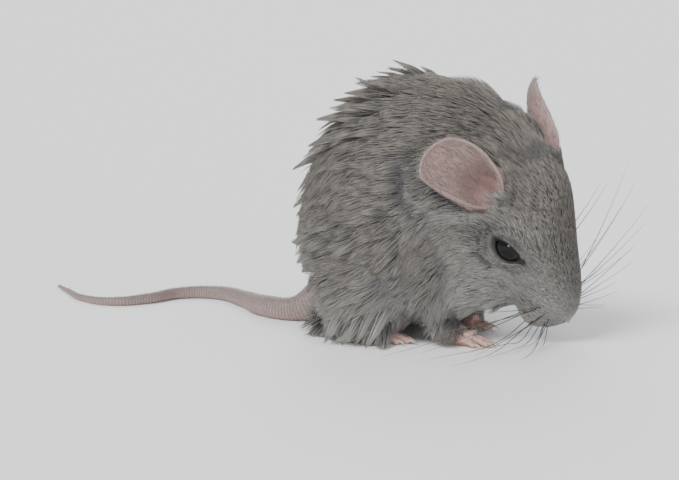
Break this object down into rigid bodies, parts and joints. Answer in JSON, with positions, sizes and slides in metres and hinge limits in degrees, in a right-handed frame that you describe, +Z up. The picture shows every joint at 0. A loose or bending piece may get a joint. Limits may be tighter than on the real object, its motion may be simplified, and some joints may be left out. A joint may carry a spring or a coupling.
{
  "type": "grey mouse",
  "caption": "Live grey house mouse as a still life-size model, crouching with an arched back, its nose bent to the floor and its tail winding back along the floor.",
  "frame": {"origin": "on the floor, under the middle of the bounding box, tail included", "axes": "+X to the mouse's front, +Y to its left, +Z up; the floor is at Z = 0"},
  "size_m": [0.0906, 0.0328, 0.0385],
  "materials": {
    "coat": "soft grey fur",
    "bare_skin": "thin bare skin with a fine down",
    "tail_skin": "finely ringed, scaly skin",
    "eye": "wet black gloss"
  },
  "bodies": {
    "root": {"trunk": "coat", "neck": "coat", "head": "coat", "lower_jaw": "coat", "thigh_left": "coat", "thigh_right": "coat", "foreleg_left": "coat", "foreleg_right": "coat", "nose": "bare_skin", "ear_left": "bare_skin", "ear_right": "bare_skin", "forepaw_left": "bare_skin", "forepaw_right": "bare_skin", "hind_foot_left": "bare_skin", "hind_foot_right": "bare_skin", "tail_1": "tail_skin", "tail_2": "tail_skin", "tail_3": "tail_skin", "tail_4": "tail_skin", "eye_left": "eye", "eye_right": "eye"}
  },
  "joints": []
}
